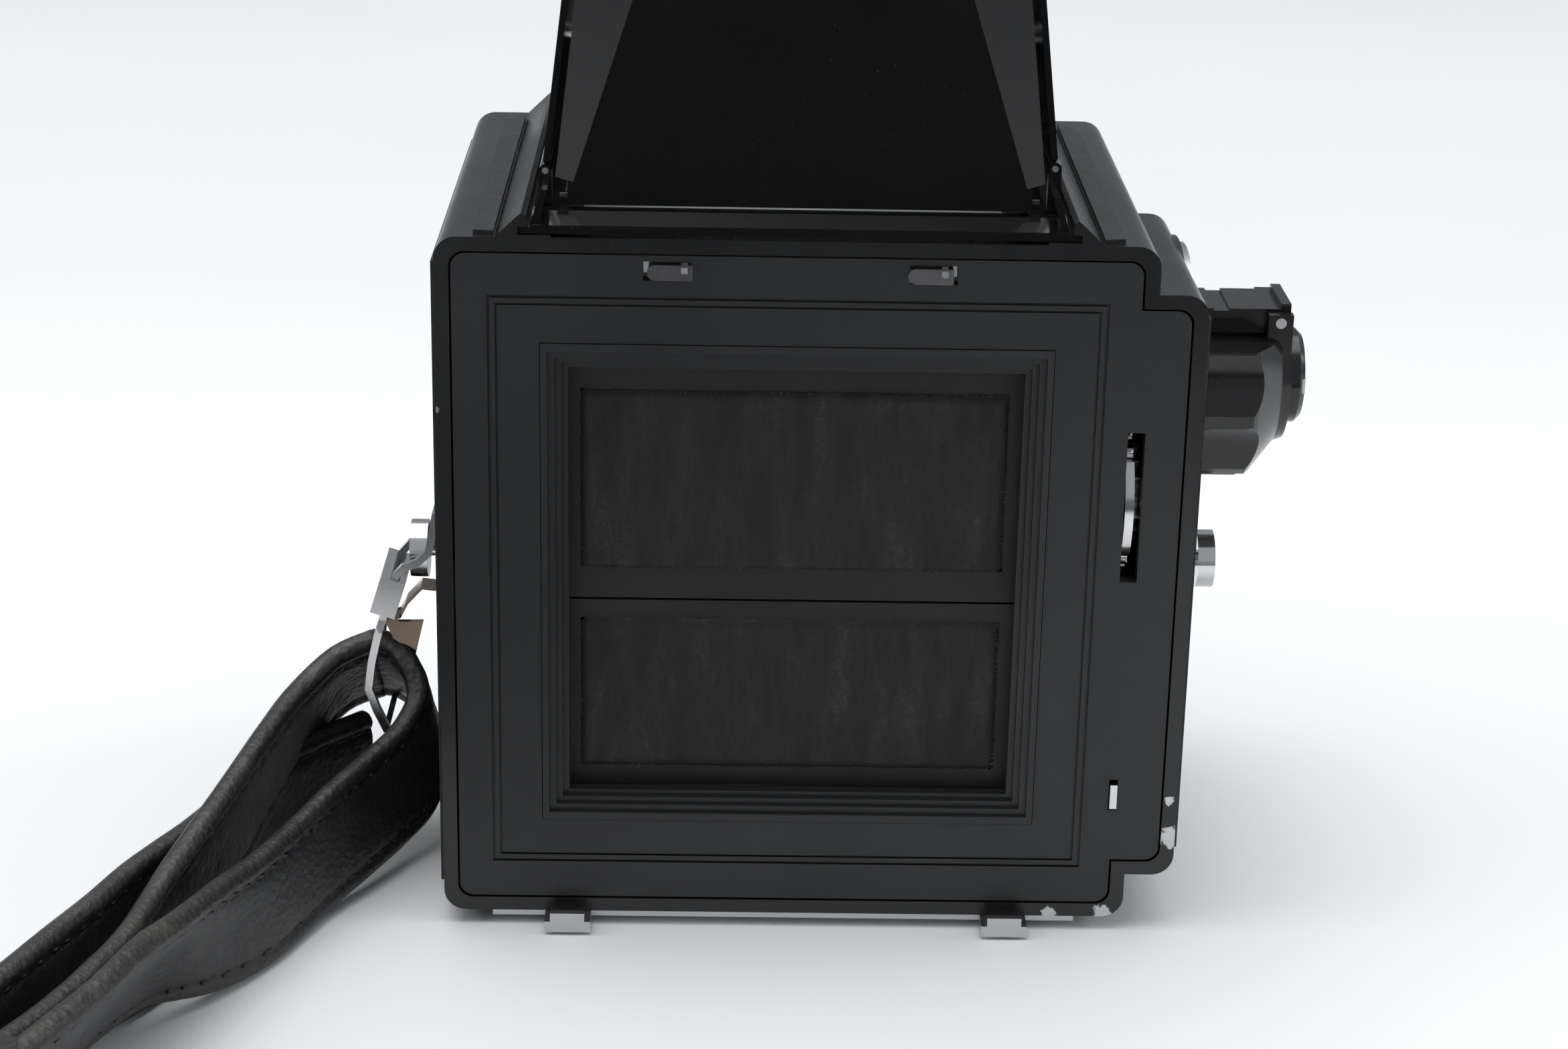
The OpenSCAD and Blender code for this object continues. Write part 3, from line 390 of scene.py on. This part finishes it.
# colour, roughness from and to, metal, grain size, bump, dust, worn
finishes = {
    "shell_paint": dict(colour=(0.009, 0.0095, 0.01), rough=(0.22, 0.34),
        grain=2600, bump=0.1, dust=0.15, worn=1),
    "plate_paint": dict(colour=(0.0125, 0.0133, 0.014), rough=(0.36, 0.52),
        grain=3600, bump=0.3, dust=0.15),
    "black_inside": dict(colour=(0.008, 0.008, 0.0085), rough=(0.5, 0.7), grain=2600, bump=0.2, dust=0.2),
    "hood_paint": dict(colour=(0.006, 0.0062, 0.0066), rough=(0.1, 0.17), grain=1800, bump=0.03, dust=0.12),
    "knob_black": dict(colour=(0.009, 0.009, 0.0095), rough=(0.12, 0.24), grain=900, bump=0.03, dust=0.2),
    "foot_rubber": dict(colour=(0.012, 0.012, 0.0125), rough=(0.6, 0.8), grain=1500, bump=0.3, dust=0.3),
    "bright_steel": dict(colour=(0.68, 0.68, 0.69), rough=(0.12, 0.24), metal=1,
        grain=1500, bump=0.03, dust=0.1),
    "pin_steel": dict(colour=(0.5, 0.5, 0.52), rough=(0.22, 0.38), metal=1,
        grain=1800, bump=0.06, dust=0.1),
    "gear_brass": dict(colour=(0.6, 0.46, 0.2), rough=(0.2, 0.34), metal=1,
        grain=1500, bump=0.05, dust=0.1),
    "spring_bronze": dict(colour=(0.2, 0.15, 0.115), rough=(0.12, 0.22), metal=1,
        grain=1500, bump=0.04, dust=0.1),
    "base_metal": dict(colour=(0.56, 0.56, 0.57), rough=(0.24, 0.4), metal=1,
        grain=1700, bump=0.08, dust=0.15),
    "white_index": dict(colour=(0.75, 0.75, 0.72), rough=(0.4, 0.55), grain=1500, bump=0.06, dust=0),
    "mirror": dict(colour=(0.8, 0.81, 0.82), rough=(0.02, 0.06), metal=1, grain=300, bump=0.0, dust=0.15),
}


def paintFinish(name):
    look = finishes[name]
    material, tree, shader, place = startMaterial(name + "Finish")
    surface = tree.nodes.new("ShaderNodeGroup")
    surface.node_tree = paintGroup
    tree.links.new(place.outputs["Object"], surface.inputs["Place"])
    for label, number in (("Grain", look["grain"]), ("Dust", look["dust"]), ("Smooth", look["rough"][0]),
            ("Rough", look["rough"][1])):
        surface.inputs[label].default_value = number
    colour = mixColour(tree, surface.outputs["Dust"], look["colour"], (0.3, 0.29, 0.27))
    if look.get("worn"):
        bare = wornEdges(tree, place.outputs["Object"])
        colour = mixColour(tree, bare, colour, (0.55, 0.55, 0.55))
        tree.links.new(bare, shader.inputs["Metallic"])
    else:
        shader.inputs["Metallic"].default_value = look.get("metal", 0)
    tree.links.new(colour, shader.inputs["Base Color"])
    tree.links.new(surface.outputs["Roughness"], shader.inputs["Roughness"])
    bump(tree, shader, surface.outputs["Height"], look["bump"], 0.0001)
    return material


# paint is worn through near these points: place and reach in metres
wornSpots = [
    ((0.0495, -0.034, 0.0135), 0.0045),
    ((0.049, -0.034, 0.0185), 0.002),
    ((0.041, -0.034, 0.0022), 0.004),
    ((0.034, -0.034, 0.0022), 0.003),
    ((-0.0442, -0.034, 0.07), 0.0016),
    ((0.036, -0.033, 0.0965), 0.0012),
]


def wornEdges(tree, place):
    bare = None
    for centre, reach in wornSpots:
        away = tree.nodes.new("ShaderNodeVectorMath")
        away.operation = "DISTANCE"
        away.inputs[1].default_value = centre
        tree.links.new(place, away.inputs[0])
        near = rangeNode(tree, away.outputs["Value"], 0, reach, 1, 0)
        bare = near if bare is None else mathNode(tree, "MAXIMUM", bare, near)
    ragged = noiseNode(tree, place, 700, 5, 0.7)
    edge = mathNode(tree, "ADD", bare, mathNode(tree, "MULTIPLY", ragged, 0.9))
    return rangeNode(tree, edge, 1.12, 1.18, 0, 1)


def leatherFinish(name, colour, wornColour, grain, strength, wornAmount):
    material, tree, shader, place = startMaterial(name)
    surface = tree.nodes.new("ShaderNodeGroup")
    surface.node_tree = leatherGroup
    tree.links.new(place.outputs["Object"], surface.inputs["Place"])
    surface.inputs["Grain"].default_value = grain
    worn = mathNode(tree, "MULTIPLY", surface.outputs["Worn"], wornAmount)
    tree.links.new(mixColour(tree, worn, colour, wornColour), shader.inputs["Base Color"])
    tree.links.new(surface.outputs["Roughness"], shader.inputs["Roughness"])
    bump(tree, shader, surface.outputs["Height"], strength, 0.00035)
    return material


def strapFinish():
    material, tree, shader, place = startMaterial("strapLeather")
    surface = tree.nodes.new("ShaderNodeGroup")
    surface.node_tree = leatherGroup
    tree.links.new(place.outputs["Object"], surface.inputs["Place"])
    surface.inputs["Grain"].default_value = 1100
    uv = tree.nodes.new("ShaderNodeSeparateXYZ")
    tree.links.new(place.outputs["UV"], uv.inputs[0])
    across = mathNode(tree, "MODULO", mathNode(tree, "ADD", uv.outputs["Y"], 0.015), 0.03)
    fromMid = mathNode(tree, "ABSOLUTE", mathNode(tree, "SUBTRACT", across, 0.015), 0)
    rim = rangeNode(tree, fromMid, 0.0067, 0.0076, 0, 1)
    rubbed = mathNode(tree, "MULTIPLY", rim, rangeNode(tree, surface.outputs["Worn"], 0, 1, 0.22, 0.9))
    scuffs = mathNode(tree, "MULTIPLY", surface.outputs["Worn"], 0.1)
    bright = mathNode(tree, "MAXIMUM", rubbed, scuffs)
    colour = mixColour(tree, bright, (0.0125, 0.0132, 0.0142), (0.075, 0.066, 0.055))
    tree.links.new(colour, shader.inputs["Base Color"])
    tree.links.new(surface.outputs["Roughness"], shader.inputs["Roughness"])
    bump(tree, shader, surface.outputs["Height"], 0.55, 0.0004)
    return material


def clothFinish():
    material, tree, shader, place = startMaterial("lightTrapCloth")
    stretched = tree.nodes.new("ShaderNodeMapping")
    stretched.inputs["Scale"].default_value = (1, 1, 0.25)
    tree.links.new(place.outputs["Object"], stretched.inputs["Vector"])
    streaks = noiseNode(tree, stretched.outputs[0], 260, 8, 0.75)
    lint = noiseNode(tree, place.outputs["Object"], 1500, 3, 0.6)
    marks = rangeNode(tree, streaks, 0.52, 0.75, 0, 0.5)
    worn = mathNode(tree, "MULTIPLY", marks, rangeNode(tree, lint, 0.45, 0.65, 0, 1))
    colour = mixColour(tree, worn, (0.006, 0.006, 0.0062), (0.07, 0.07, 0.072))
    tree.links.new(colour, shader.inputs["Base Color"])
    tree.links.new(rangeNode(tree, streaks, 0.4, 0.7, 0.75, 0.45), shader.inputs["Roughness"])
    bump(tree, shader, mathNode(tree, "ADD", lint, streaks), 0.6, 0.0003)
    return material


def glassFinish(name, colour, roughness, transmission):
    material, tree, shader, place = startMaterial(name)
    shader.inputs["Base Color"].default_value = (*colour, 1)
    shader.inputs["Transmission Weight"].default_value = transmission
    smears = noiseNode(tree, place.outputs["Object"], 90, 4)
    tree.links.new(rangeNode(tree, smears, 0.3, 0.7, roughness, roughness + 0.06), shader.inputs["Roughness"])
    return material


slotMaterials = {name: paintFinish(name) for name in finishes}
blackLeather = (0.012, 0.0122, 0.0126)
slotMaterials["leatherette"] = leatherFinish("bodyLeather", blackLeather, (0.06, 0.058, 0.055), 620, 0.8, 0.2)
rubbedLeather = (0.08, 0.07, 0.06)
slotMaterials["strap_leather"] = leatherFinish("keeperLeather", blackLeather, rubbedLeather, 1100, 0.6, 0.3)
slotMaterials["pad_felt"] = clothFinish()
slotMaterials["lens_glass"] = glassFinish("magnifierGlass", (0.95, 0.97, 0.98), 0.01, 1)
slotMaterials["screen_glass"] = glassFinish("screenGlass", (0.75, 0.78, 0.78), 0.35, 0.6)
threadFinish = leatherFinish("waxedThread", (0.006, 0.006, 0.0065), (0.03, 0.028, 0.026), 2600, 0.4, 0.3)
strapLeather = strapFinish()
for row in frame["record"]["subparts"]:
    piece = nodes[row["node"]]
    if not piece.material_slots:
        piece.data.materials.append(None)
    for holder in piece.material_slots:
        holder.material = slotMaterials[row["material_slot"]]
for piece in (neckStrap, strapEnd):
    piece.data.materials.append(strapLeather)
for piece in (neckStitching, endStitching):
    piece.data.materials.append(threadFinish)
print("materials made")

# cloth pads on the light-trap flaps

padSettings = {
    "cell": 0.0006,
    "fringe": 420,        # loose fibres on each pad
    "fibre": 0.00045,
}


def makePad(name, node, body):
    low, high = (Vector(corner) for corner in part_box(node))
    size = high - low
    columns = int(size.x / padSettings["cell"])
    rows = int(size.z / padSettings["cell"])
    mesh = bmesh.new()
    face = Matrix.Translation(((low.x + high.x) / 2, high.y, (low.z + high.z) / 2))
    face = face @ Matrix.Rotation(math.radians(90), 4, "X") @ Matrix.Diagonal((size.x / 2, size.z / 2, 1, 1))
    bmesh.ops.create_grid(mesh, x_segments=columns, y_segments=rows, size=1, matrix=face)
    for v in mesh.verts:
        edge = min(v.co.x - low.x, high.x - v.co.x, v.co.z - low.z, high.z - v.co.z)
        rise = min(max(edge, 0) / 0.0009, 1)
        lump = noise.noise(Vector((v.co.x * 380, 0, v.co.z * 130))) * 0.00006
        roll = 0.00012 * math.exp(-((edge - 0.0009) / 0.0005) ** 2)
        v.co.y = high.y - (size.y - 0.00012) * math.sqrt(rise) - roll * 0.8 + lump * rise
        if edge < 0.0001:
            wave = noise.noise(Vector((v.co.x * 900, 3, v.co.z * 900))) * 0.0002
            v.co.x += wave * 0.7
            v.co.z += wave * 0.7
            v.co.y = high.y
    for f in mesh.faces:
        f.smooth = True
    for i in range(padSettings["fringe"]):
        walk = random.uniform(0, 2 * (size.x + size.z))
        place, out = edgePoint(low, high, walk)
        length = padSettings["fibre"] * random.uniform(0.5, 1.4)
        across = Vector((out.z, 0, -out.x))
        sideways = across * random.uniform(-0.9, 0.9)
        lean = (out + sideways + Vector((0, -random.uniform(0.1, 0.8), 0))).normalized()
        start = place - out * 0.0003 + Vector((0, -size.y * 0.5, 0))
        side = lean.cross(Vector((0, 1, 0))).normalized() * 0.00004
        tip = start + lean * length
        ridge = start + Vector((0, -0.00008, 0))
        corners = [mesh.verts.new(p) for p in (start - side, start + side, ridge, tip)]
        for a, b, c in ((0, 1, 2), (0, 3, 1), (1, 3, 2), (2, 3, 0)):
            mesh.faces.new((corners[a], corners[b], corners[c])).material_index = 1
    bmesh.ops.recalc_face_normals(mesh, faces=[f for f in mesh.faces if f.material_index == 0])
    pad = finishMesh(mesh, name)
    pad.data.materials.append(slotMaterials["pad_felt"])
    pad.data.materials.append(fibreFinish)
    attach(pad, body)
    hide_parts(node)
    return pad


def edgePoint(low, high, walk):
    wide, tall = high.x - low.x, high.z - low.z
    if walk < wide:
        return Vector((low.x + walk, high.y, high.z)), Vector((0, 0, 1))
    walk -= wide
    if walk < tall:
        return Vector((high.x, high.y, high.z - walk)), Vector((1, 0, 0))
    walk -= tall
    if walk < wide:
        return Vector((high.x - walk, high.y, low.z)), Vector((0, 0, -1))
    return Vector((low.x, high.y, low.z + walk - wide)), Vector((-1, 0, 0))


fibreFinish = leatherFinish("clothFibre", (0.03, 0.03, 0.03), (0.16, 0.155, 0.15), 2000, 0.2, 0.9)
makePad("upperClothPad", "upper_pad", "upper_flap")
makePad("lowerClothPad", "lower_pad", "lower_flap")
print("pads made")

# floor and light

stageSettings = {
    "size": 6.0,
    "tableEdge": 0.21,    # metres behind the lens axis where the table falls off
    "table": (0.86, 0.87, 0.88),
    "beyond": (0.78, 0.79, 0.8),
}


def addFloor():
    mesh = bmesh.new()
    bmesh.ops.create_grid(mesh, x_segments=2, y_segments=2, size=stageSettings["size"])
    back = [e for e in mesh.edges if all(v.co.y > stageSettings["size"] - 0.01 for v in e.verts)]
    lifted = bmesh.ops.extrude_edge_only(mesh, edges=back)["geom"]
    bmesh.ops.translate(mesh, verts=[g for g in lifted if isinstance(g, bmesh.types.BMVert)], vec=(0, 0, 6))
    floor = finishMesh(mesh, "studioFloor")
    material, tree, shader, place = startMaterial("studioFloor")
    spread = tree.nodes.new("ShaderNodeSeparateXYZ")
    tree.links.new(place.outputs["Object"], spread.inputs[0])
    edge = stageSettings["tableEdge"]
    fade = rangeNode(tree, spread.outputs["Y"], edge - 0.06, edge + 0.08, 0, 1)
    colour = mixColour(tree, fade, stageSettings["table"], stageSettings["beyond"])
    tree.links.new(colour, shader.inputs["Base Color"])
    cloudy = noiseNode(tree, place.outputs["Object"], 8, 3)
    tree.links.new(rangeNode(tree, cloudy, 0.3, 0.7, 0.5, 0.6), shader.inputs["Roughness"])
    shader.inputs["Specular IOR Level"].default_value = 0.2
    floor.data.materials.append(material)


def addLight(name, place, target, size, power, colour=(1, 1, 1)):
    data = bpy.data.lights.new(name, "AREA")
    data.shape = "RECTANGLE"
    data.size, data.size_y = size
    data.energy = power
    data.color = colour
    light = bpy.data.objects.new(name, data)
    bpy.context.scene.collection.objects.link(light)
    light.location = place
    light.rotation_euler = (Vector(target) - Vector(place)).to_track_quat("-Z", "Y").to_euler()


def addDarkCard():
    mesh = bmesh.new()
    w, near, far, tall = (cardSettings[k] for k in ("halfWidth", "near", "far", "height"))
    place = Matrix.Translation((cardSettings["x"], -(near + far) / 2, 0.001))
    bmesh.ops.create_grid(mesh, x_segments=1, y_segments=1, size=1,
        matrix=place @ Matrix.Diagonal((w, (far - near) / 2, 1, 1)))
    back = [e for e in mesh.edges if all(v.co.y < -far + 0.001 for v in e.verts)]
    raised = bmesh.ops.extrude_edge_only(mesh, edges=back)["geom"]
    topVerts = [g for g in raised if isinstance(g, bmesh.types.BMVert)]
    bmesh.ops.translate(mesh, verts=topVerts, vec=(0, 0, tall))
    card = finishMesh(mesh, "darkCard")
    material, tree, shader, place = startMaterial("darkCard")
    shader.inputs["Base Color"].default_value = (0.012, 0.012, 0.013, 1)
    shader.inputs["Roughness"].default_value = 0.9
    card.data.materials.append(material)
    card.visible_camera = False  # only gloss sees the card
    card.visible_diffuse = False
    card.visible_shadow = False
    card.visible_transmission = False


cardSettings = {"x": 0.03, "halfWidth": 0.14, "near": 0.24, "far": 0.8, "height": 0.12}

addFloor()
addDarkCard()
addLight("overheadBox", (-0.1, 0.15, 1.5), (0, 0, 0), (1.6, 1.6), 21)
addLight("leftBox", (-1.3, -0.3, 0.8), (0, 0, 0.05), (0.9, 0.9), 5)
addLight("rightBox", (1.3, 0.1, 0.7), (0, 0, 0.05), (0.8, 0.8), 5)
world = bpy.data.worlds.new("studio")
bpy.context.scene.world = world
world.use_nodes = True
world.node_tree.nodes["Background"].inputs["Color"].default_value = (0.93, 0.96, 1, 1)
world.node_tree.nodes["Background"].inputs["Strength"].default_value = 0.42
bpy.context.scene.view_settings.view_transform = "Standard"
print("studio made")
